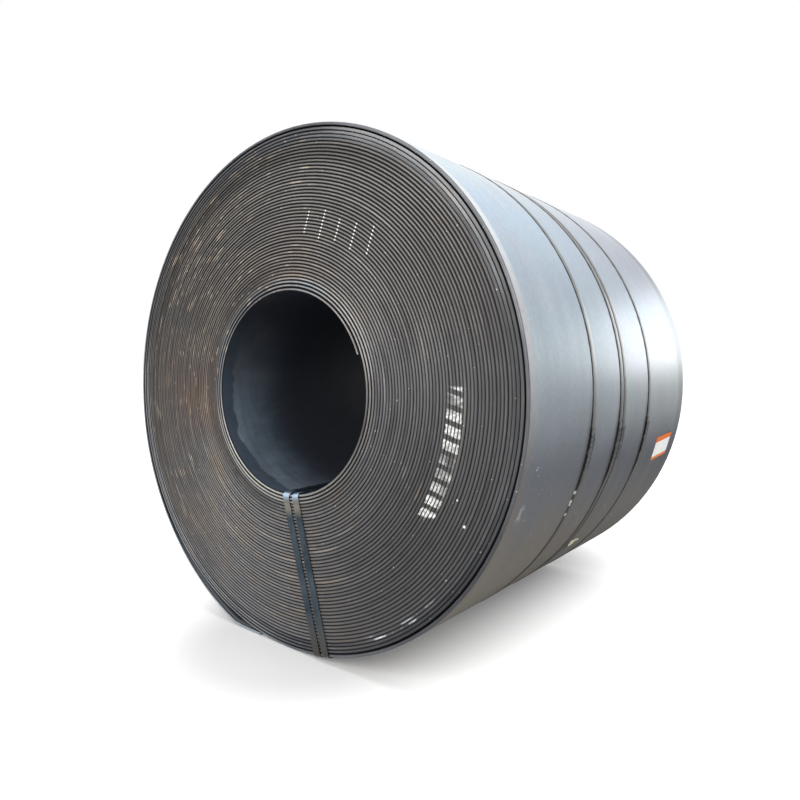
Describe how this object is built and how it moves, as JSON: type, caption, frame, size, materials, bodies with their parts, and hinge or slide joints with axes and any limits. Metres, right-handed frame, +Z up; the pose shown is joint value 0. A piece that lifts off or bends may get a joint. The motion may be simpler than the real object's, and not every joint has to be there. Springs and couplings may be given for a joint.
{
  "type": "hot-rolled steel coil",
  "caption": "Coil of thick hot-rolled steel strip lying on its side, banded round the outside and through the bore, with a blank label.",
  "frame": {"origin": "on the floor, under the middle of the object's box", "axes": "+Y along the roll's axis from the front end to the rear end, +Z up, +X to the right when the front end is looked at"},
  "size_m": [1.9678, 1.6426, 1.9609],
  "materials": {
    "hot_rolled_steel": "blue-black mill scale, brownish on the strip's edges, satin",
    "strap_steel": "blued strapping steel, satin",
    "seal_steel": "dark blued sheet, satin",
    "label_paper": "matt white paper with an orange band at the top and bottom"
  },
  "bodies": {
    "root": {"coil": "hot_rolled_steel", "strap_front": "strap_steel", "strap_middle_front": "strap_steel", "strap_middle_rear": "strap_steel", "strap_rear": "strap_steel", "eye_strap_left": "strap_steel", "eye_strap_right": "strap_steel", "seal_front_1": "seal_steel", "seal_front_2": "seal_steel", "seal_middle_front_1": "seal_steel", "seal_middle_front_2": "seal_steel", "seal_middle_rear_1": "seal_steel", "seal_middle_rear_2": "seal_steel", "seal_rear_1": "seal_steel", "seal_rear_2": "seal_steel", "eye_seal_left": "seal_steel", "eye_seal_right": "seal_steel", "label": "label_paper"}
  },
  "joints": []
}
